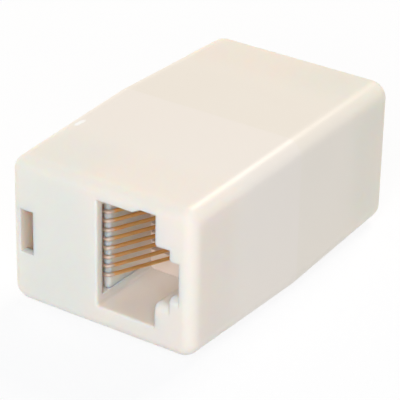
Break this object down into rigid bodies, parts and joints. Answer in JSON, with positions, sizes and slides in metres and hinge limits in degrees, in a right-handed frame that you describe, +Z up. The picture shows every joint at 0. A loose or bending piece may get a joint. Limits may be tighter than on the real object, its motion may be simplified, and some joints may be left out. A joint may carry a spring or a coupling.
{
  "type": "rj45 inline coupler",
  "caption": "Small ivory box coupler that joins two modular network plugs end to end, with a stepped jack opening in each end and gold spring contacts inside.",
  "frame": {"origin": "under the middle of the coupler, on the surface it stands on, at the level of the seam's lower edge", "axes": "+Y along the coupler, from the front jack to the rear jack; +Z up; +X to the right when looking at the front jack"},
  "size_m": [0.023, 0.0376, 0.0172],
  "materials": {
    "housing": "satin",
    "carrier": "satin",
    "contacts": "polished gold plate"
  },
  "bodies": {
    "root": {"front_shell": "housing", "rear_shell": "housing", "contact_carrier": "carrier", "contact_wire_1": "contacts", "contact_wire_2": "contacts", "contact_wire_3": "contacts", "contact_wire_4": "contacts", "contact_wire_5": "contacts", "contact_wire_6": "contacts", "contact_wire_7": "contacts", "contact_wire_8": "contacts"}
  },
  "joints": []
}
